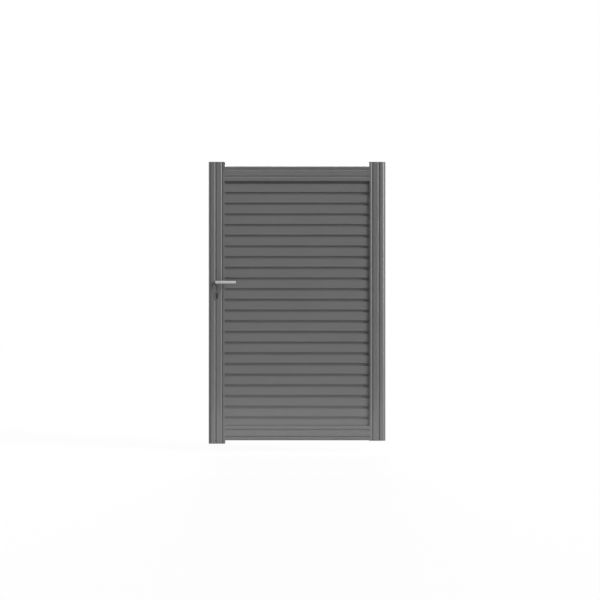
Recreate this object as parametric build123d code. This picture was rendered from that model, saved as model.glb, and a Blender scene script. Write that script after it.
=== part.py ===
from build123d import *
import os

# Pedestrian gate leaf with slatted infill, lever lock and two lift-off hinges behind the hinge stile.
# Millimetres. X runs along the leaf with the hinge side at +X, the front faces -Y, +Z is up.
# The origin is the middle of the lower hinge's fixing face, where it meets the post.

# Leaf
leaf_width = 1000.0
lock_stile_height = 1592.0
hinge_stile_lift = 16.5       # the hinge stile's foot ends this much above the lock stile's foot
frame_depth = 50.0
stile_width = 93.0
stile_edge_radius = 20.0      # rounding of a stile's outer edge
stile_rebate = 4.5            # step in a stile's inner edge, both ways, between the rails
rail_height = 83.0
top_rail_drop = 25.5          # top of the stiles down to the top rail
bottom_rail_lift = 19.0       # foot of the lock stile up to the bottom rail
frame_wall = 2.0              # wall of the stile and rail extrusions
channel_depth = 8.5           # lips of the stiles and rails that hold the slats
stile_groove_outer = 39.0     # groove centre lines, from the outer edge of a stile
stile_groove_inner = 76.0
rail_groove_outer = 19.0      # groove centre lines, from the outer edge of a rail
rail_groove_inner = 59.0
face_groove_width = 12.5
face_groove_depth = 3.5
rail_edge_radius = 6.0        # rounding of a rail's outer edge
rail_inner_radius = 2.5       # rounding of a rail's inner edge
cap_thickness = 3.0
cap_plug_length = 14.0
cap_plug_clearance = 0.3

# Slats
slat_count = 23
slat_thickness = 25.0
slat_wall = 1.5
slat_recess_height = 16.0     # recessed strip that shows above each slat's face
slat_tongue_thickness = 3.0
slat_tongue_engagement = 8.0  # tongue inside the slat above
slat_tongue_clearance = 0.4
slat_channel_clearance = 0.3  # slat in its channel, front and back, and on the bottom rail
slat_end_gap = 0.8            # slat ends to the bottom of the stile channels
slat_top_gap = 1.5            # top tongue to the bottom of the top rail's channel

# Lock and handle
lock_height = 911.0           # lever axis above the foot of the lock stile
lock_backset = 47.5           # lever axis from the outer edge of the lock stile
lock_centres = 68.0           # lever axis down to the cylinder axis
lever_diameter = 18.0
lever_reach = 108.0           # lever axis to the free end
lever_projection = 42.0       # stile face to the middle of the grip
lever_seat_gap = 0.3          # end of the neck to the stile face
spindle_size = 8.0
spindle_fit = 0.1
spindle_end_gap = 0.3
spindle_socket_depth = 26.0
spindle_hole_radius = 7.0
bush_diameter = 25.0
bush_thickness = 6.0
bush_clearance = 0.3
cylinder_radius = 8.5
cylinder_tail_width = 10.0
cylinder_height = 33.0
cylinder_proud = 1.0          # cylinder ends past the escutcheons
cylinder_clearance = 0.3
keyway_width = 2.4
keyway_height = 9.0
keyway_depth = 16.0
escutcheon_border = 7.0
escutcheon_thickness = 2.5
faceplate_width = 20.0
faceplate_thickness = 3.0
faceplate_length = 235.0
faceplate_sink = 0.4          # faceplate below the crown of the stile's rounded edge
faceplate_clearance = 0.1
case_depth = 64.0
case_thickness = 16.0
case_margin = 45.0            # lock case above the lever axis and below the cylinder axis
bolt_width = 12.0
bolt_length = 36.0
bolt_clearance = 0.3
latch_height = 18.0
latch_rise = 24.0             # latch centre above the lever axis
latch_bevel = 8.0
latch_flat = 3.0              # square strip left on the front of the latch
dead_bolt_height = 30.0
dead_bolt_drop = 38.0         # dead bolt centre below the lever axis

# Hinges
hinge_from_end = 230.0        # hinge middles from the foot and the top of the lock stile
hinge_height = 140.0
hinge_reach = 58.0            # hinge axis to the inboard edge of both plates
hinge_barrel_radius = 11.0
hinge_pin_radius = 6.0
hinge_pin_clearance = 0.15
hinge_pin_recess = 3.0        # pin below the top of the gate knuckle
knuckle_gap = 0.5
gate_plate_thickness = 5.0
post_plate_thickness = 8.0
post_clearance = 3.0          # rounded edge of the open gate to the face of the post
plate_barrel_clearance = 1.5  # plate edges past the other plate's barrels
plate_corner_radius = 6.0
post_hole_radius = 4.5
post_hole_inset = 12.0        # post holes from the inboard edge of the plate
post_hole_spacing_x = 24.0
post_hole_spacing_z = 100.0

# Places worked out from the sizes above
hinge_x = hinge_reach - post_hole_inset - post_hole_spacing_x / 2
hinge_y = -(hinge_barrel_radius + post_clearance)
right_edge = hinge_x + hinge_barrel_radius
left_edge = right_edge - leaf_width
back_face = hinge_y - hinge_barrel_radius
middle_y = back_face - frame_depth / 2
front_face = back_face - frame_depth
foot = -hinge_from_end
top = foot + lock_stile_height
upper_hinge_z = top - hinge_from_end
top_rail_top = top - top_rail_drop
top_rail_bottom = top_rail_top - rail_height
bottom_rail_bottom = foot + bottom_rail_lift
bottom_rail_top = bottom_rail_bottom + rail_height
channel_width = slat_thickness + 2 * slat_channel_clearance
slat_stack_bottom = bottom_rail_top - channel_depth + slat_channel_clearance
slat_stack_top = top_rail_bottom + channel_depth - slat_top_gap - slat_tongue_engagement
slat_pitch = (slat_stack_top - slat_stack_bottom) / slat_count
slat_length = leaf_width - 2 * (stile_width - channel_depth + slat_end_gap)
lever_x = left_edge + lock_backset
lever_z = foot + lock_height
cylinder_z = lever_z - lock_centres
faceplate_front = left_edge + faceplate_sink
faceplate_z = (lever_z + cylinder_z) / 2
latch_z = lever_z + latch_rise
dead_bolt_z = lever_z - dead_bolt_drop


def block(x0, x1, y0, y1, z0, z1):
    """Box between two corners."""
    size = Box(x1 - x0, y1 - y0, z1 - z0)
    return Pos((x0 + x1) / 2, (y0 + y1) / 2, (z0 + z1) / 2) * size


def rod_y(radius, y0, y1, x, z):
    """Round bar along Y."""
    return Pos(x, (y0 + y1) / 2, z) * Rot(X=90) * Cylinder(radius, y1 - y0)


def rod_z(radius, z0, z1, x, y):
    """Round bar along Z."""
    return Pos(x, y, (z0 + z1) / 2) * Cylinder(radius, z1 - z0)


def save(shape, name):
    export_step(shape, f"parts/{name}.step")


def face_groove(across, side, grow=0.0):
    """Cove in the front (side -1) or back (side 1) of a frame section, grown by a wall for the cavity."""
    half = face_groove_width / 2
    radius = (half**2 + face_groove_depth**2) / (2 * face_groove_depth)
    centre = frame_depth / 2 + radius - face_groove_depth
    return Pos(across, side * centre) * Circle(radius + grow)


def channel_section(width, grow=0.0):
    """Slat channel at the inner edge of a frame section of the given width."""
    depth = channel_depth + grow
    return Pos(width - depth / 2, 0) * Rectangle(depth, channel_width + 2 * grow)


def stile_outline(inset=0.0):
    """Plain stile outline: rounded outer edge at 0, square inner edge at the stile's width."""
    sheet = Pos(stile_width / 2, 0) * Rectangle(stile_width - 2 * inset, frame_depth - 2 * inset)
    outer_corners = sheet.vertices().sort_by(Axis.X)[:2]
    return fillet(outer_corners, stile_edge_radius - inset)


def rebate_section(side, grow=0.0):
    """Step in a stile's inner edge, front (side -1) or back (side 1), grown by a wall for the cavity."""
    size = stile_rebate + grow
    return Pos(stile_width - size / 2, side * (frame_depth - size) / 2) * Rectangle(size, size)


def stile_section():
    """Stile extrusion with two grooves a face and a channel for the slats."""
    section = stile_outline() - channel_section(stile_width)
    cavity = stile_outline(frame_wall) - channel_section(stile_width, frame_wall)
    cavity -= rebate_section(-1, frame_wall) + rebate_section(1, frame_wall)
    for across in (stile_groove_outer, stile_groove_inner):
        section -= face_groove(across, -1) + face_groove(across, 1)
        cavity -= face_groove(across, -1, frame_wall) + face_groove(across, 1, frame_wall)
    return section - cavity


def cap_plug_section():
    """Plug of an end cap, held between the walls behind the grooves of a stile."""
    start = stile_edge_radius
    end = stile_width - channel_depth - frame_wall - cap_plug_clearance
    depth = frame_depth - 2 * (face_groove_depth + frame_wall + cap_plug_clearance)
    return Pos((start + end) / 2, 0) * Rectangle(end - start, depth)


def rail_outline(inset=0.0):
    """Plain rail outline with rounded edges, outer edge at 0."""
    sheet = Pos(rail_height / 2, 0) * Rectangle(rail_height - 2 * inset, frame_depth - 2 * inset)
    sheet = fillet(sheet.vertices().sort_by(Axis.X)[:2], rail_edge_radius - inset)
    return fillet(sheet.vertices().sort_by(Axis.X)[-2:], rail_inner_radius - inset)


def rail_section():
    """Rail extrusion with two grooves a face and a channel for the slats."""
    section = rail_outline() - channel_section(rail_height)
    cavity = rail_outline(frame_wall) - channel_section(rail_height, frame_wall)
    for across in (rail_groove_outer, rail_groove_inner):
        section -= face_groove(across, -1) + face_groove(across, 1)
        cavity -= face_groove(across, -1, frame_wall) + face_groove(across, 1, frame_wall)
    return section - cavity


def slat_section():
    """Tongue-and-groove slat, hollow, with its lower edge at 0 and the same face front and back."""
    board_top = slat_pitch - slat_recess_height
    tongue_top = slat_pitch + slat_tongue_engagement
    groove_width = slat_tongue_thickness + 2 * slat_tongue_clearance
    groove_depth = slat_tongue_engagement + slat_tongue_clearance
    board = Pos(board_top / 2, 0) * Rectangle(board_top, slat_thickness)
    tongue = Rectangle(tongue_top - board_top, slat_tongue_thickness)
    tongue = Pos((board_top + tongue_top) / 2, 0) * tongue
    groove = Pos(groove_depth / 2, 0) * Rectangle(groove_depth, groove_width)
    hollow = Pos(board_top / 2, 0) * Rectangle(board_top - 2 * slat_wall, slat_thickness - 2 * slat_wall)
    lining_depth = groove_depth + slat_wall
    hollow -= Pos(lining_depth / 2, 0) * Rectangle(lining_depth, groove_width + 2 * slat_wall)
    return board + tongue - groove - hollow


def euro_profile(grow=0.0):
    """Euro cylinder outline about its plug axis, drawn in X and Z."""
    tail_end = cylinder_height - cylinder_radius - cylinder_tail_width / 2
    body = Circle(cylinder_radius + grow)
    tail = Pos(0, -tail_end / 2) * Rectangle(cylinder_tail_width + 2 * grow, tail_end)
    foot_round = Pos(0, -tail_end) * Circle(cylinder_tail_width / 2 + grow)
    return body + tail + foot_round


def along_y(sketch, y0, y1, x, z):
    """Sketch in X and Z, extruded from y0 to y1."""
    plane = Plane((x, y1, z), x_dir=(1, 0, 0), z_dir=(0, -1, 0))
    return extrude(plane * sketch, amount=y1 - y0)


def upright(section, side, z0, z1):
    """Stile section stood up between two heights, at the lock edge (-1) or the hinge edge (1)."""
    bar = extrude(section, amount=z1 - z0)
    if side < 0:
        return Pos(left_edge, middle_y, z0) * bar
    return Pos(right_edge, middle_y, z0) * mirror(bar, about=Plane.YZ)


def level(section, x0, x1, outer_z, up):
    """Rail or slat section laid along X, with its outer edge at a height and its inner edge up or down."""
    plane = Plane((x0, middle_y, outer_z), x_dir=(0, 0, up), z_dir=(1, 0, 0))
    return extrude(plane * section, amount=x1 - x0)


def faceplate_blank(x0, x1, grow=0.0):
    """Faceplate outline with round ends, between two places across the stile."""
    outline = SlotOverall(faceplate_length + 2 * grow, faceplate_width + 2 * grow, rotation=90)
    plane = Plane((x0, middle_y, faceplate_z), x_dir=(0, 1, 0), z_dir=(1, 0, 0))
    return extrude(plane * outline, amount=x1 - x0)


def make_stile(side, z0, z1):
    """Stile tube at the lock edge (-1) or the hinge edge (1), its inner edges stepped between the rails."""
    steps = rebate_section(-1) + rebate_section(1)
    return upright(stile_section(), side, z0, z1) - upright(steps, side, bottom_rail_top, top_rail_bottom)


def make_lock_stile():
    """Lock stile tube, cut for the lock case, faceplate, spindle and cylinder."""
    tube = make_stile(-1, foot + cap_thickness, top - cap_thickness)
    plate_back = faceplate_front + faceplate_thickness
    tube -= faceplate_blank(left_edge, plate_back, faceplate_clearance)
    half_case = case_thickness / 2 + bolt_clearance
    tube -= block(left_edge, left_edge + stile_edge_radius, middle_y - half_case, middle_y + half_case,
                  cylinder_z - case_margin - bolt_clearance, lever_z + case_margin + bolt_clearance)
    tube -= rod_y(spindle_hole_radius, front_face, back_face, lever_x, lever_z)
    tube -= along_y(euro_profile(cylinder_clearance), front_face, back_face, lever_x, cylinder_z)
    return tube


def make_cap(side, z_outer, up):
    """Stile end cap: a plate to the stile's outline with a plug inside the tube."""
    z_inner = z_outer - up * cap_thickness
    z_plug = z_inner - up * cap_plug_length
    plate = upright(stile_outline(), side, min(z_outer, z_inner), max(z_outer, z_inner))
    plug = upright(cap_plug_section(), side, min(z_inner, z_plug), max(z_inner, z_plug))
    return plate + plug


def make_lever(side):
    """Round lever with a mitred elbow and a square socket in its neck; side -1 front, 1 back."""
    face = front_face if side < 0 else back_face
    start = face + side * lever_seat_gap
    grip_y = face + side * lever_projection
    path = Polyline(
        (lever_x, start, lever_z),
        (lever_x, grip_y, lever_z),
        (lever_x + lever_reach, grip_y, lever_z),
    )
    section = Plane(path @ 0, z_dir=path % 0) * Circle(lever_diameter / 2)
    bar = sweep(section, path=path, transition=Transition.RIGHT)
    socket = spindle_size / 2 + spindle_fit
    bottom = start + side * spindle_socket_depth
    low, high = min(start, bottom), max(start, bottom)
    return bar - block(lever_x - socket, lever_x + socket, low, high, lever_z - socket, lever_z + socket)


def make_bush(side):
    """Collar on the stile face round the lever's neck."""
    face = front_face if side < 0 else back_face
    outer = face + side * bush_thickness
    low, high = min(face, outer), max(face, outer)
    ring = rod_y(bush_diameter / 2, low, high, lever_x, lever_z)
    return ring - rod_y(lever_diameter / 2 + bush_clearance, low, high, lever_x, lever_z)


def make_spindle():
    """Square bar that joins the two levers."""
    half = spindle_size / 2
    reach = lever_seat_gap + spindle_socket_depth - spindle_end_gap
    return block(lever_x - half, lever_x + half, front_face - reach, back_face + reach,
                 lever_z - half, lever_z + half)


def make_escutcheon(side):
    """Slim plate on the stile face round the cylinder."""
    face = front_face if side < 0 else back_face
    outer = face + side * escutcheon_thickness
    low, high = min(face, outer), max(face, outer)
    plate_height = cylinder_height + 2 * escutcheon_border
    plate_width = 2 * (cylinder_radius + escutcheon_border)
    middle = cylinder_z + cylinder_radius - cylinder_height / 2
    outline = SlotOverall(plate_height, plate_width, rotation=90)
    plate = along_y(outline, low, high, lever_x, middle)
    return plate - along_y(euro_profile(cylinder_clearance), low, high, lever_x, cylinder_z)


def make_cylinder():
    """Euro cylinder through the stile, with a keyway at each end."""
    reach = escutcheon_thickness + cylinder_proud
    low, high = front_face - reach, back_face + reach
    body = along_y(euro_profile(), low, high, lever_x, cylinder_z)
    half_key = keyway_width / 2
    for y0, y1 in ((low, low + keyway_depth), (high - keyway_depth, high)):
        body -= block(lever_x - half_key, lever_x + half_key, y0, y1,
                      cylinder_z - keyway_height / 2, cylinder_z + keyway_height / 2)
    return body


def bolt_block(z, height, grow=0.0):
    """Space of a lock bolt, drawn back level with the faceplate."""
    half = bolt_width / 2 + grow
    return block(faceplate_front, faceplate_front + bolt_length + grow, middle_y - half, middle_y + half,
                 z - height / 2 - grow, z + height / 2 + grow)


def make_latch():
    """Latch bolt with its closing bevel on the back side."""
    bolt = bolt_block(latch_z, latch_height)
    corner = [
        (faceplate_front, middle_y + bolt_width / 2),
        (faceplate_front, middle_y - bolt_width / 2 + latch_flat),
        (faceplate_front + latch_bevel, middle_y + bolt_width / 2),
    ]
    wedge = extrude(make_face(Polyline(*corner, close=True)), amount=latch_height)
    return bolt - Pos(0, 0, latch_z - latch_height / 2) * wedge


def make_faceplate():
    """Lock faceplate let into the rounded edge of the lock stile."""
    plate = faceplate_blank(faceplate_front, faceplate_front + faceplate_thickness)
    return plate - bolt_block(latch_z, latch_height, bolt_clearance) - bolt_block(
        dead_bolt_z, dead_bolt_height, bolt_clearance)


def make_case():
    """Lock case inside the stile, behind the faceplate."""
    start = faceplate_front + faceplate_thickness
    half = case_thickness / 2
    case = block(start, start + case_depth, middle_y - half, middle_y + half,
                 cylinder_z - case_margin, lever_z + case_margin)
    case -= rod_y(spindle_hole_radius, middle_y - half, middle_y + half, lever_x, lever_z)
    case -= along_y(euro_profile(cylinder_clearance), middle_y - half, middle_y + half, lever_x, cylinder_z)
    case -= bolt_block(latch_z, latch_height, bolt_clearance)
    return case - bolt_block(dead_bolt_z, dead_bolt_height, bolt_clearance)


def make_hinge_plate(z, y0, y1, knuckle_low, knuckle_high):
    """Hinge plate between two depths, with one barrel round the hinge axis."""
    inboard = hinge_x - hinge_reach
    edge = hinge_x - hinge_barrel_radius - plate_barrel_clearance
    plate = block(inboard, edge, y0, y1, z - hinge_height / 2, z + hinge_height / 2)
    corners = plate.edges().filter_by(Axis.Y).sort_by(Axis.X)[:2]
    plate = fillet(corners, plate_corner_radius)
    plate += block(edge, hinge_x, y0, y1, knuckle_low, knuckle_high)
    plate += rod_z(hinge_barrel_radius, knuckle_low, knuckle_high, hinge_x, hinge_y)
    bore = hinge_pin_radius + hinge_pin_clearance
    return plate - rod_z(bore, knuckle_low, knuckle_high, hinge_x, hinge_y)


def make_gate_plate(z):
    """Hinge half screwed to the back of the hinge stile, which drops over the pin."""
    low, high = z + knuckle_gap / 2, z + hinge_height / 2
    return make_hinge_plate(z, back_face, back_face + gate_plate_thickness, low, high)


def make_post_plate(z):
    """Hinge half bolted to the post through four holes, which carries the pin."""
    low, high = z - hinge_height / 2, z - knuckle_gap / 2
    plate = make_hinge_plate(z, -post_plate_thickness, 0.0, low, high)
    for side_x in (-1, 1):
        for side_z in (-1, 1):
            x = side_x * post_hole_spacing_x / 2
            plate -= rod_y(post_hole_radius, -post_plate_thickness, 0.0, x,
                           z + side_z * post_hole_spacing_z / 2)
    return plate


def make_hinge_pin(z):
    """Plain hinge pin from the foot of the post barrel up into the gate barrel."""
    low, high = z - hinge_height / 2, z + hinge_height / 2 - hinge_pin_recess
    return rod_z(hinge_pin_radius, low, high, hinge_x, hinge_y)


os.makedirs("parts", exist_ok=True)

# Frame of the leaf
save(make_lock_stile(), "lock_stile")
save(make_stile(1, foot + hinge_stile_lift + cap_thickness, top - cap_thickness), "hinge_stile")
rail_left = left_edge + stile_width
rail_right = right_edge - stile_width
save(level(rail_section(), rail_left, rail_right, top_rail_top, -1), "top_rail")
save(level(rail_section(), rail_left, rail_right, bottom_rail_bottom, 1), "bottom_rail")
save(Compound([make_cap(-1, top, 1), make_cap(1, top, 1)]), "stile_top_caps")
save(Compound([make_cap(-1, foot, -1), make_cap(1, foot + hinge_stile_lift, -1)]), "stile_bottom_caps")

# Slats, numbered from the top
slat_left = left_edge + stile_width - channel_depth + slat_end_gap
slat = slat_section()
for number in range(1, slat_count + 1):
    lower_edge = slat_stack_bottom + (slat_count - number) * slat_pitch
    save(level(slat, slat_left, slat_left + slat_length, lower_edge, 1), f"slat_{number:02d}")

# Lock and handle
save(make_faceplate(), "lock_faceplate")
save(make_case(), "lock_case")
save(make_latch(), "latch_bolt")
save(bolt_block(dead_bolt_z, dead_bolt_height), "dead_bolt")
save(make_cylinder(), "lock_cylinder")
save(Compound([make_bush(-1), make_escutcheon(-1)]), "front_lock_trim")
save(Compound([make_bush(1), make_escutcheon(1)]), "rear_lock_trim")
save(make_lever(-1), "front_lever")
save(make_lever(1), "rear_lever")
save(make_spindle(), "lever_spindle")

# Hinges
hinge_heights = (0.0, upper_hinge_z)
save(Compound([make_gate_plate(z) for z in hinge_heights]), "hinge_gate_plates")
save(Compound([make_post_plate(z) for z in hinge_heights]), "hinge_post_plates")
save(Compound([make_hinge_pin(z) for z in hinge_heights]), "hinge_pins")
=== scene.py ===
import math

import bmesh
import bpy
from mathutils import Matrix, Vector


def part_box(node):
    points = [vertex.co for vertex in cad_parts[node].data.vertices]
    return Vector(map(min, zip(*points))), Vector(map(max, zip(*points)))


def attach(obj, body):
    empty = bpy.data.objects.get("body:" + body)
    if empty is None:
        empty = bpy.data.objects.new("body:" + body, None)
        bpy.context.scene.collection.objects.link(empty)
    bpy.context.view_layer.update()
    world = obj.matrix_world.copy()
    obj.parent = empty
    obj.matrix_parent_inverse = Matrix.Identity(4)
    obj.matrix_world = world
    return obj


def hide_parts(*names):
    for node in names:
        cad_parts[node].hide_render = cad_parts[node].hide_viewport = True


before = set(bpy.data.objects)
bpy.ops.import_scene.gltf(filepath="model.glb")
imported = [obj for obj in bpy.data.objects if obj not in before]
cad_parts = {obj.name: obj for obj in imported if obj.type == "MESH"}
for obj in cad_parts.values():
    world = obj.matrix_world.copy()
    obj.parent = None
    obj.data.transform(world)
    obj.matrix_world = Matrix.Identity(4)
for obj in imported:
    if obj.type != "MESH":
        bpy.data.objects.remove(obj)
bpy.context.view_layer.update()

# Pedestrian gate leaf on a white studio floor, seen straight on.
# Metres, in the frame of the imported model: front towards -Y, hinge side at +X.

# Where the photograph puts the leaf, in its 600 x 600 frame, and the camera
IMAGE_SIZE = 600
PIXEL_LEAF_LEFT = 208.40
PIXEL_LEAF_RIGHT = 385.75
PIXEL_TOP = 162.00
PIXEL_FOOT = 443.60
CAMERA_DISTANCE = 10.0
CAMERA_REACH = 100.0
SENSOR_WIDTH = 36.0

# Floor: gap below the foot, size, tone, and how much of its shading shows
WHITE = (1.0, 1.0, 1.0, 1.0)
FLOOR_GAP = 0.05
FLOOR_SIZE = 40.0
FLOOR_WHITE = (0.9, 0.9, 0.9, 1.0)
FLOOR_ROUGHNESS = 0.9
FLOOR_SHADOW = 0.06

# Lamps far off: azimuth from the front to the right, elevation and width in degrees, strength
KEY_AZIMUTH = 58.0
KEY_ELEVATION = 20.0
KEY_ANGLE = 20.0
KEY_STRENGTH = 4.0
TOP_AZIMUTH = 0.0
TOP_ELEVATION = 62.0
TOP_ANGLE = 20.0
TOP_STRENGTH = 0.73
FILL_AZIMUTH = -97.0
FILL_ELEVATION = 6.0
FILL_ANGLE = 20.0
FILL_STRENGTH = 0.35
BACK_AZIMUTH = 180.0
BACK_ELEVATION = 12.0
BACK_ANGLE = 20.0
BACK_STRENGTH = 2.6
GLINT_AZIMUTH = 46.0
GLINT_ELEVATION = 7.0
GLINT_ANGLE = 6.0
GLINT_STRENGTH = 1.7

# Even light of the surroundings, and a long low lamp in front of the foot
WORLD_LEVEL = 0.005
STRIP_LEVEL = 1.35
STRIP_REACH = 1.25
STRIP_WIDTH = 4.0
STRIP_HEIGHT = 0.1
STRIP_SPREAD = 85.0

# Colours, linear, and roughness
COAT_GREY = (0.1025, 0.1025, 0.1025, 1.0)
COAT_ROUGHNESS = 0.28
COAT_SPECULAR = 0.33
CAP_GREY = (0.135, 0.135, 0.135, 1.0)
CAP_ROUGHNESS = 0.5
# The lock cylinder's near-black tone is painted shade: it stands in for the dark of the keyhole
CYLINDER_PAINTED_SHADE = (0.012, 0.012, 0.012, 1.0)
CYLINDER_ROUGHNESS = 0.35
LEVER_SILVER = (0.28, 0.28, 0.28, 1.0)
LEVER_ROUGHNESS = 0.6
STEEL_GREY = (0.42, 0.42, 0.42, 1.0)
STEEL_ROUGHNESS = 0.38
PIN_GREY = (0.45, 0.45, 0.45, 1.0)
PIN_ROUGHNESS = 0.4
PLUG_NICKEL = (0.10, 0.10, 0.10, 1.0)
PLUG_ROUGHNESS = 0.4

# Texture of coats and plastics: fine grain in gloss and surface, wide clouds in tone
GRAIN_SCALE = 900.0
GRAIN_DETAIL = 2.0
GRAIN_GLOSS = 0.03
GRAIN_DEPTH = 0.00001
CLOUD_SCALE = 6.0
CLOUD_DETAIL = 4.0
CLOUD_SHARE = 0.02

# Texture of bare metals: brushed lines, drawn out along the axis with the low scale
LINE_SCALE = 1.0
LINE_DETAIL = 3.0
LINE_GLOSS = 0.05
LINE_DEPTH = 0.000004
LINE_SHARE = 0.06
BRUSHED_ACROSS = (60.0, 900.0, 900.0)
BRUSHED_UPRIGHT = (900.0, 900.0, 60.0)
UNBRUSHED = (900.0, 900.0, 900.0)

# Part of a noise that is spread over a range of gloss, and over two tones
GLOSS_FROM, GLOSS_TO = 0.25, 0.75
TONE_FROM, TONE_TO = 0.3, 0.7

# Softened edges of CAD nodes
EDGE_WIDTH = 0.0006
EDGE_ANGLE = 40.0
EDGE_SEGMENTS = 2
WELD_DISTANCE = 0.000001
FLAT_ANGLE = 0.5

# Turned pieces: points round, the angle from which an edge is sharp, depth sunk into the carrier
TURN_POINTS = 48
SHARP_ANGLE = 32.0
SINK = 0.0002
TINY = 0.000001

# Ring round the plug of the lock cylinder
CYLINDER_RADIUS = 0.0085
PLUG_RADIUS = 0.0073
PLUG_RING = 0.0011
PLUG_PROUD = 0.0004

# Screws and caps. Outlines are shares of radius and height; a cross recess has shares of the radius for
# its reach and half width, then of the height; a socket has a share of the radius, then of the height.
FACEPLATE_SCREW_INSET = 0.010
FACEPLATE_SCREW_RADIUS = 0.0039
FACEPLATE_SCREW_HEIGHT = 0.0005
FACEPLATE_SCREW_OUTLINE = ((1.0, 0.2), (0.85, 0.8), (0.66, 1.0))
FACEPLATE_SCREW_RECESS = ((0.56, 0.15, 1.0), (0.50, 0.12, 0.2))
HINGE_SCREW_RADIUS = 0.0047
HINGE_SCREW_HEIGHT = 0.0026
HINGE_SCREW_OUTLINE = ((1.0, 0.30), (0.95, 0.60), (0.82, 0.84), (0.62, 0.97))
HINGE_SCREW_RECESS = ((0.50, 0.13, 1.0), (0.44, 0.10, 0.25))
HINGE_SCREW_INSET = 0.012
HINGE_SCREW_ACROSS = 0.022
HINGE_SCREW_UP = 0.050
HINGE_CAP_RADIUS = 0.0098
HINGE_CAP_HEIGHT = 0.0026
HINGE_CAP_OUTLINE = ((1.0, 0.45), (0.96, 0.70), (0.86, 0.90), (0.66, 1.0))
HINGE_HALF_HEIGHT = 0.070
GATE_PLATE = 0.005
BARREL_RADIUS = 0.011
SET_SCREW_RADIUS = 0.0025
SET_SCREW_HEIGHT = 0.0003
SET_SCREW_SINK = 0.0006
SET_SCREW_OUTLINE = ((1.0, 2 / 3), (0.9, 1.0))
SET_SCREW_SOCKET = ((0.55, 1.0), (0.5, 1 / 6))
SET_SCREW_OUT = 0.020

# Lever: round where it leaves the stile, flattened front and back along the grip
LEVER_RADIUS = 0.009
LEVER_GAP = 0.0003
NECK_ROUND = 0.007
NECK_BLEND = 0.020
GRIP_HALF_DEPTH = 0.0080
GRIP_SQUARENESS = 3.4
GRIP_POINTS = 64
GRIP_END_RADIUS = 0.0015
GRIP_END_TURNS = (0, 22, 45, 67, 90)


def new_material(name):
    """New material, its node tree and its main shader."""
    material = bpy.data.materials.new(name)
    material.use_nodes = True
    tree = material.node_tree
    return material, tree, tree.nodes["Principled BSDF"]


def noise(tree, scale, detail, stretch=(1.0, 1.0, 1.0)):
    """Factor of a noise in object coordinates, scaled along each axis."""
    coords = tree.nodes.new("ShaderNodeTexCoord")
    mapping = tree.nodes.new("ShaderNodeMapping")
    mapping.inputs["Scale"].default_value = stretch
    texture = tree.nodes.new("ShaderNodeTexNoise")
    texture.inputs["Scale"].default_value = scale
    texture.inputs["Detail"].default_value = detail
    tree.links.new(coords.outputs["Object"], mapping.inputs["Vector"])
    tree.links.new(mapping.outputs["Vector"], texture.inputs["Vector"])
    return texture.outputs["Fac"]


def spread(tree, factor, middle, reach):
    """Factor remapped to a range on both sides of a middle value."""
    node = tree.nodes.new("ShaderNodeMapRange")
    node.inputs["From Min"].default_value = GLOSS_FROM
    node.inputs["From Max"].default_value = GLOSS_TO
    node.inputs["To Min"].default_value = middle - reach
    node.inputs["To Max"].default_value = middle + reach
    tree.links.new(factor, node.inputs["Value"])
    return node.outputs["Result"]


def tint(tree, factor, colour, share):
    """Colour that varies by a share of itself with the factor."""
    ramp = tree.nodes.new("ShaderNodeValToRGB")
    dark, light = ramp.color_ramp.elements
    dark.position = TONE_FROM
    dark.color = [c * (1 - share) for c in colour[:3]] + [1.0]
    light.position = TONE_TO
    light.color = [c * (1 + share) for c in colour[:3]] + [1.0]
    tree.links.new(factor, ramp.inputs["Fac"])
    return ramp.outputs["Color"]


def bump(tree, shader, factor, depth):
    """Bump of a depth in metres from a factor."""
    node = tree.nodes.new("ShaderNodeBump")
    node.inputs["Strength"].default_value = 1.0
    node.inputs["Distance"].default_value = depth
    tree.links.new(factor, node.inputs["Height"])
    tree.links.new(node.outputs["Normal"], shader.inputs["Normal"])


def coated(name, colour, roughness):
    """Satin coat or plastic: fine orange peel, faint changes of tone."""
    material, tree, shader = new_material(name)
    grain = noise(tree, GRAIN_SCALE, GRAIN_DETAIL)
    clouds = noise(tree, CLOUD_SCALE, CLOUD_DETAIL)
    shader.inputs["Specular IOR Level"].default_value = COAT_SPECULAR
    tree.links.new(tint(tree, clouds, colour, CLOUD_SHARE), shader.inputs["Base Color"])
    tree.links.new(spread(tree, grain, roughness, GRAIN_GLOSS), shader.inputs["Roughness"])
    bump(tree, shader, grain, GRAIN_DEPTH)
    return material


def satin_metal(name, colour, roughness, stretch):
    """Satin metal with fine brushed lines."""
    material, tree, shader = new_material(name)
    lines = noise(tree, LINE_SCALE, LINE_DETAIL, stretch)
    shader.inputs["Metallic"].default_value = 1.0
    tree.links.new(tint(tree, lines, colour, LINE_SHARE), shader.inputs["Base Color"])
    tree.links.new(spread(tree, lines, roughness, LINE_GLOSS), shader.inputs["Roughness"])
    bump(tree, shader, lines, LINE_DEPTH)
    return material


def dress(nodes, material):
    """Gives CAD nodes one material."""
    for name in nodes:
        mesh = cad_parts[name].data
        mesh.materials.clear()
        mesh.materials.append(material)


def soften(nodes):
    """Rounds the sharp edges of CAD nodes a little; flat faces are made whole first, so none splits."""
    for name in nodes:
        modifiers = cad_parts[name].modifiers
        weld = modifiers.new("weld", "WELD")
        weld.merge_threshold = WELD_DISTANCE
        whole = modifiers.new("whole_faces", "DECIMATE")
        whole.decimate_type = "DISSOLVE"
        whole.angle_limit = math.radians(FLAT_ANGLE)
        bevel = modifiers.new("soft_edges", "BEVEL")
        bevel.width = EDGE_WIDTH
        bevel.segments = EDGE_SEGMENTS
        bevel.limit_method = "ANGLE"
        bevel.angle_limit = math.radians(EDGE_ANGLE)


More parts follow.
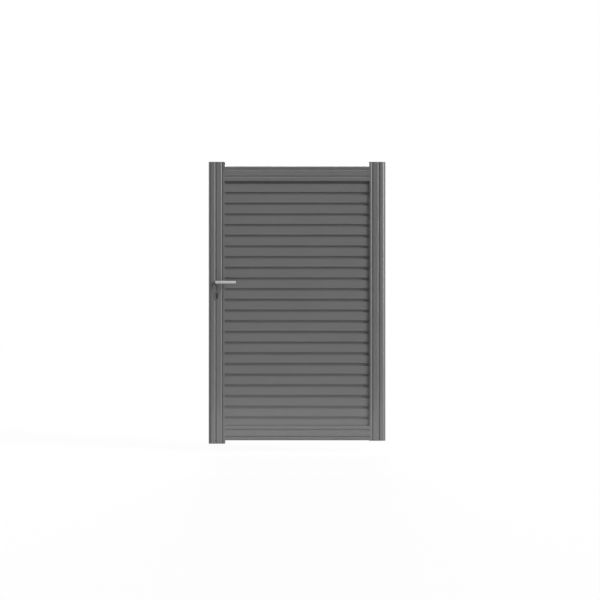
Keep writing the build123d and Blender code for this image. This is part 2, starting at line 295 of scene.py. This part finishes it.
coat = coated("powder_coat", COAT_GREY, COAT_ROUGHNESS)
cap_plastic = coated("cap_plastic", CAP_GREY, CAP_ROUGHNESS)
lever_metal = satin_metal("satin_lever", LEVER_SILVER, LEVER_ROUGHNESS, BRUSHED_ACROSS)
# Lock cylinder coated near black, as painted shade of the keyhole
dark_cylinder = coated("dark_cylinder", CYLINDER_PAINTED_SHADE, CYLINDER_ROUGHNESS)
steel = satin_metal("lock_steel", STEEL_GREY, STEEL_ROUGHNESS, BRUSHED_UPRIGHT)
plug_nickel = satin_metal("plug_nickel", PLUG_NICKEL, PLUG_ROUGHNESS, UNBRUSHED)
pin_steel = satin_metal("pin_steel", PIN_GREY, PIN_ROUGHNESS, BRUSHED_UPRIGHT)

frame_pieces = ["lock_stile", "hinge_stile", "top_rail", "bottom_rail"]
slats = [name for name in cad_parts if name.startswith("slat_")]
caps = ["stile_top_caps", "stile_bottom_caps"]
trims_and_plates = ["front_lock_trim", "rear_lock_trim", "hinge_gate_plates", "hinge_post_plates"]
dress(frame_pieces + slats + trims_and_plates, coat)
dress(caps, cap_plastic)
dress(["front_lever", "rear_lever"], lever_metal)
dress(["lock_cylinder"], dark_cylinder)
dress(["lock_faceplate", "latch_bolt", "dead_bolt", "lever_spindle", "lock_case"], steel)
dress(["hinge_pins"], pin_steel)
soften(caps + trims_and_plates + ["lock_faceplate"])


def cross_recess(reach, half_width):
    """Outline of a cross recess as a radius for each angle."""
    def radius(angle):
        turn = (angle + math.pi / 4) % (math.pi / 2) - math.pi / 4
        across = abs(math.sin(turn))
        end = reach / math.cos(turn)
        return min(end, half_width / across) if across > TINY else end
    return radius


def hex_recess(half_width):
    """Outline of a hexagon socket as a radius for each angle."""
    def radius(angle):
        turn = (angle + math.pi / 6) % (math.pi / 3) - math.pi / 6
        return half_width / math.cos(turn)
    return radius


def head_rows(radius, height, outline, sink=SINK):
    """Rows of a turned head that stands a little in its carrier."""
    return [(radius, -sink)] + [(share * radius, up * height) for share, up in outline]


def cross_rows(radius, height, recess):
    """Rows of a cross recess in a turned head."""
    return [(cross_recess(reach * radius, half * radius), up * height) for reach, half, up in recess]


def skin(mesh, loops, ring=False):
    """Faces from loop to loop, closed at both ends or, for a ring, back to the first loop."""
    count = len(loops[0])
    following = loops[1:] + (loops[:1] if ring else [])
    for before, after in zip(loops, following):
        for step in range(count):
            beside = (step + 1) % count
            mesh.faces.new((before[step], before[beside], after[beside], after[step]))
    if ring:
        return
    for loop in (loops[0], loops[-1]):
        centre = mesh.verts.new(sum((vertex.co for vertex in loop), Vector()) / count)
        for step in range(count):
            mesh.faces.new((loop[step], loop[(step + 1) % count], centre))


def add_turned(mesh, rows, place, axis, ring=False):
    """Adds a turned form: rows of radius, or of radius for each angle, and height along the axis."""
    turn = Vector(axis).to_track_quat("Z", "Y").to_matrix().to_4x4()
    matrix = Matrix.Translation(Vector(place)) @ turn
    loops = []
    for radius, height in rows:
        loop = []
        for step in range(TURN_POINTS):
            angle = 2 * math.pi * step / TURN_POINTS
            r = radius(angle) if callable(radius) else radius
            point = Vector((r * math.cos(angle), r * math.sin(angle), height))
            loop.append(mesh.verts.new(matrix @ point))
        loops.append(loop)
    skin(mesh, loops, ring)


def add_piece(name, mesh, body, material):
    """Object from a mesh, riding on a body, with smooth faces and sharp corners."""
    data = bpy.data.meshes.new(name)
    bmesh.ops.recalc_face_normals(mesh, faces=mesh.faces[:])
    for face in mesh.faces:
        face.smooth = True
    mesh.to_mesh(data)
    mesh.free()
    data.set_sharp_from_angle(angle=math.radians(SHARP_ANGLE))
    data.materials.append(material)
    thing = bpy.data.objects.new(name, data)
    bpy.context.collection.objects.link(thing)
    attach(thing, body)
    return thing


def corners(name):
    """Low and high corner of a CAD node's box."""
    low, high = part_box(name)
    return Vector(low), Vector(high)


def plug_rings():
    """Nickel ring round the turning plug at each end of the lock cylinder."""
    low, high = corners("lock_cylinder")
    x, z = (low.x + high.x) / 2, high.z - CYLINDER_RADIUS
    inner = PLUG_RADIUS - PLUG_RING
    soft = PLUG_PROUD / 2
    rows = [(inner, -SINK), (inner, soft), (inner + soft, PLUG_PROUD),
            (PLUG_RADIUS - soft, PLUG_PROUD), (PLUG_RADIUS, soft), (PLUG_RADIUS, -SINK)]
    for side, y, out in (("front", low.y, -1), ("rear", high.y, 1)):
        mesh = bmesh.new()
        add_turned(mesh, rows, (x, y, z), (0, out, 0), ring=True)
        add_piece(f"cylinder_plug_ring_{side}", mesh, "leaf", plug_nickel)


def faceplate_screws():
    """Two fixing screws and the cylinder's screw in the lock's faceplate."""
    low, high = corners("lock_faceplate")
    cylinder_z = corners("lock_cylinder")[1].z - CYLINDER_RADIUS
    radius, height = FACEPLATE_SCREW_RADIUS, FACEPLATE_SCREW_HEIGHT
    rows = head_rows(radius, height, FACEPLATE_SCREW_OUTLINE)
    rows += cross_rows(radius, height, FACEPLATE_SCREW_RECESS)
    mesh = bmesh.new()
    for z in (low.z + FACEPLATE_SCREW_INSET, high.z - FACEPLATE_SCREW_INSET, cylinder_z):
        add_turned(mesh, rows, (low.x, (low.y + high.y) / 2, z), (-1, 0, 0))
    add_piece("faceplate_screws", mesh, "leaf", steel)


def hinge_fittings():
    """Pan-head screws that hold the gate plates, and a cap over each pin."""
    low, high = corners("hinge_gate_plates")
    plate_y = corners("hinge_stile")[1].y + GATE_PLATE
    head = head_rows(HINGE_SCREW_RADIUS, HINGE_SCREW_HEIGHT, HINGE_SCREW_OUTLINE)
    head += cross_rows(HINGE_SCREW_RADIUS, HINGE_SCREW_HEIGHT, HINGE_SCREW_RECESS)
    cap = head_rows(HINGE_CAP_RADIUS, HINGE_CAP_HEIGHT, HINGE_CAP_OUTLINE)
    axis_x, axis_y = high.x - BARREL_RADIUS, high.y - BARREL_RADIUS
    screw_mesh = bmesh.new()
    cap_mesh = bmesh.new()
    for z in (low.z + HINGE_HALF_HEIGHT, high.z - HINGE_HALF_HEIGHT):
        for across in (0.0, HINGE_SCREW_ACROSS):
            for up in (-HINGE_SCREW_UP, HINGE_SCREW_UP):
                place = (low.x + HINGE_SCREW_INSET + across, plate_y, z + up)
                add_turned(screw_mesh, head, place, (0, 1, 0))
        add_turned(cap_mesh, cap, (axis_x, axis_y, z + HINGE_HALF_HEIGHT), (0, 0, 1))
    add_piece("hinge_screws", screw_mesh, "leaf", steel)
    add_piece("hinge_caps", cap_mesh, "leaf", cap_plastic)


def lever_section(flat, inset=0.0):
    """Points round the lever's bar as depth and height, from round at 0 to flattened at 1."""
    points = []
    square = 2 / GRIP_SQUARENESS
    for step in range(GRIP_POINTS):
        angle = 2 * math.pi * step / GRIP_POINTS
        depth, height = math.cos(angle), math.sin(angle)
        flat_depth = math.copysign(abs(depth) ** square, depth) * (GRIP_HALF_DEPTH - inset)
        flat_height = math.copysign(abs(height) ** square, height) * (LEVER_RADIUS - inset)
        points.append((depth * LEVER_RADIUS * (1 - flat) + flat_depth * flat,
                       height * LEVER_RADIUS * (1 - flat) + flat_height * flat))
    return points


def make_lever(side, face, out):
    """Mitred lever handle on one side of the leaf; out is -1 in front and 1 behind."""
    low, high = corners(f"{side}_lever")
    x, z, end = low.x + LEVER_RADIUS, (low.z + high.z) / 2, high.x
    grip_y = (low.y if out < 0 else high.y) - out * LEVER_RADIUS
    mesh = bmesh.new()
    loops = []
    neck = ((LEVER_GAP, 0.0), (NECK_ROUND, 0.0), ((NECK_ROUND + NECK_BLEND) / 2, 0.5), (NECK_BLEND, 1.0))
    for reach, flat in neck:
        y = face + out * reach
        loops.append([mesh.verts.new((x + u, y, z + v)) for u, v in lever_section(flat)])
    loops.append([mesh.verts.new((x + u, grip_y - out * u, z + v)) for u, v in lever_section(1.0)])
    for turn in GRIP_END_TURNS:
        inset = GRIP_END_RADIUS * (1 - math.cos(math.radians(turn)))
        along = end - GRIP_END_RADIUS * (1 - math.sin(math.radians(turn)))
        section = lever_section(1.0, inset)
        loops.append([mesh.verts.new((along, grip_y - out * u, z + v)) for u, v in section])
    skin(mesh, loops)
    handle = add_piece(f"{side}_lever_handle", mesh, "lever", lever_metal)
    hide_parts(f"{side}_lever")


def lever_set_screw(side, face, out):
    """Socket set screw under the neck of a lever."""
    low, high = corners(f"{side}_lever")
    radius, height = SET_SCREW_RADIUS, SET_SCREW_HEIGHT
    rows = head_rows(radius, height, SET_SCREW_OUTLINE, SET_SCREW_SINK)
    rows += [(hex_recess(share * radius), up * height) for share, up in SET_SCREW_SOCKET]
    x = low.x + (high.z - low.z) / 2
    mesh = bmesh.new()
    add_turned(mesh, rows, (x, face + out * SET_SCREW_OUT, low.z), (0, 0, -1))
    add_piece(f"{side}_lever_set_screw", mesh, "lever", steel)


stile_low, stile_high = corners("lock_stile")
sides = (("front", stile_low.y, -1), ("rear", stile_high.y, 1))
plug_rings()
faceplate_screws()
hinge_fittings()
for side in sides:
    make_lever(*side)
for side in sides:
    lever_set_screw(*side)

# The leaf's front plane and its place in the picture
leaf_right = corners("hinge_stile")[1].x
foot = corners("stile_bottom_caps")[0].z
top = corners("stile_top_caps")[1].z
across_pixel = (leaf_right - stile_low.x) / (PIXEL_LEAF_RIGHT - PIXEL_LEAF_LEFT)
upright_pixel = (top - foot) / (PIXEL_FOOT - PIXEL_TOP)
metres_per_pixel = (across_pixel + upright_pixel) / 2
leaf_middle = Vector(((stile_low.x + leaf_right) / 2, stile_low.y, (foot + top) / 2))
floor_level = foot - FLOOR_GAP


def seen_directly(tree):
    """Factor of 1 for rays of the camera, mirrors and glass, and 0 for other light."""
    path = tree.nodes.new("ShaderNodeLightPath")
    mirrored = tree.nodes.new("ShaderNodeMath")
    mirrored.operation = "MAXIMUM"
    seen = tree.nodes.new("ShaderNodeMath")
    seen.operation = "MAXIMUM"
    tree.links.new(path.outputs["Is Camera Ray"], mirrored.inputs[0])
    tree.links.new(path.outputs["Is Glossy Ray"], mirrored.inputs[1])
    tree.links.new(mirrored.outputs[0], seen.inputs[0])
    tree.links.new(path.outputs["Is Transmission Ray"], seen.inputs[1])
    return seen.outputs[0]


def make_world():
    """Even soft light, and white behind the object."""
    world = bpy.data.worlds.new("studio")
    world.use_nodes = True
    bpy.context.scene.world = world
    tree = world.node_tree
    light = tree.nodes["Background"]
    light.inputs["Color"].default_value = WHITE
    light.inputs["Strength"].default_value = WORLD_LEVEL
    white = tree.nodes.new("ShaderNodeBackground")
    white.inputs["Color"].default_value = WHITE
    white.inputs["Strength"].default_value = 1.0
    mix = tree.nodes.new("ShaderNodeMixShader")
    tree.links.new(seen_directly(tree), mix.inputs["Fac"])
    tree.links.new(light.outputs[0], mix.inputs[1])
    tree.links.new(white.outputs[0], mix.inputs[2])
    tree.links.new(mix.outputs[0], tree.nodes["World Output"].inputs["Surface"])


def make_floor():
    """White floor under the leaf, with a faint shadow."""
    mesh = bpy.data.meshes.new("floor")
    half = FLOOR_SIZE / 2
    square = [(x * half, y * half, floor_level) for x, y in ((-1, -1), (1, -1), (1, 1), (-1, 1))]
    mesh.from_pydata(square, [], [(0, 1, 2, 3)])
    floor = bpy.data.objects.new("floor", mesh)
    bpy.context.collection.objects.link(floor)
    material, tree, shader = new_material("floor_white")
    shader.inputs["Base Color"].default_value = FLOOR_WHITE
    shader.inputs["Roughness"].default_value = FLOOR_ROUGHNESS
    white = tree.nodes.new("ShaderNodeEmission")
    white.inputs["Strength"].default_value = 1.0
    share = tree.nodes.new("ShaderNodeMath")
    share.operation = "MULTIPLY"
    share.inputs[1].default_value = 1.0 - FLOOR_SHADOW
    mix = tree.nodes.new("ShaderNodeMixShader")
    tree.links.new(seen_directly(tree), share.inputs[0])
    tree.links.new(share.outputs[0], mix.inputs["Fac"])
    tree.links.new(shader.outputs[0], mix.inputs[1])
    tree.links.new(white.outputs[0], mix.inputs[2])
    tree.links.new(mix.outputs[0], tree.nodes["Material Output"].inputs["Surface"])
    mesh.materials.append(material)


def direction(azimuth, elevation):
    """Unit vector from the leaf towards a lamp, azimuth from the front to the right."""
    flat = math.cos(math.radians(elevation))
    across = math.sin(math.radians(azimuth)) * flat
    towards = -math.cos(math.radians(azimuth)) * flat
    return Vector((across, towards, math.sin(math.radians(elevation))))


def make_sun(name, azimuth, elevation, angle, strength, gloss_only=False):
    """Light from far off, wide by an angle in degrees; one for gloss only shows just as a reflection."""
    data = bpy.data.lights.new(name, "SUN")
    data.energy = strength
    data.angle = math.radians(angle)
    lamp = bpy.data.objects.new(name, data)
    lamp.rotation_euler = (-direction(azimuth, elevation)).to_track_quat("-Z", "Y").to_euler()
    lamp.visible_diffuse = not gloss_only
    bpy.context.collection.objects.link(lamp)


def make_strip():
    """Long low light in front of the leaf's foot."""
    data = bpy.data.lights.new("strip", "AREA")
    data.shape = "RECTANGLE"
    data.size = STRIP_WIDTH
    data.size_y = STRIP_HEIGHT
    data.spread = math.radians(STRIP_SPREAD)
    data.energy = STRIP_LEVEL * math.pi * STRIP_WIDTH * STRIP_HEIGHT
    lamp = bpy.data.objects.new("strip", data)
    lamp.location = (leaf_middle.x, leaf_middle.y - STRIP_REACH, floor_level + STRIP_HEIGHT / 2)
    lamp.rotation_euler = (math.radians(90), 0, 0)
    lamp.visible_camera = False
    bpy.context.collection.objects.link(lamp)


def make_camera():
    """Camera square to the leaf, with the leaf where the photograph has it."""
    data = bpy.data.cameras.new("camera")
    data.sensor_width = SENSOR_WIDTH
    data.lens = SENSOR_WIDTH * CAMERA_DISTANCE / (metres_per_pixel * IMAGE_SIZE)
    data.clip_end = CAMERA_REACH
    camera = bpy.data.objects.new("camera", data)
    middle_pixel = IMAGE_SIZE / 2
    x = leaf_middle.x + (middle_pixel - (PIXEL_LEAF_LEFT + PIXEL_LEAF_RIGHT) / 2) * metres_per_pixel
    z = leaf_middle.z + ((PIXEL_FOOT + PIXEL_TOP) / 2 - middle_pixel) * metres_per_pixel
    camera.location = (x, leaf_middle.y - CAMERA_DISTANCE, z)
    camera.rotation_euler = (math.radians(90), 0, 0)
    bpy.context.collection.objects.link(camera)
    bpy.context.scene.camera = camera


make_world()
make_floor()
make_sun("key", KEY_AZIMUTH, KEY_ELEVATION, KEY_ANGLE, KEY_STRENGTH)
make_sun("top", TOP_AZIMUTH, TOP_ELEVATION, TOP_ANGLE, TOP_STRENGTH)
make_sun("fill", FILL_AZIMUTH, FILL_ELEVATION, FILL_ANGLE, FILL_STRENGTH)
make_sun("back", BACK_AZIMUTH, BACK_ELEVATION, BACK_ANGLE, BACK_STRENGTH)
make_sun("glint", GLINT_AZIMUTH, GLINT_ELEVATION, GLINT_ANGLE, GLINT_STRENGTH, gloss_only=True)
make_strip()
make_camera()
bpy.context.scene.view_settings.view_transform = "Standard"
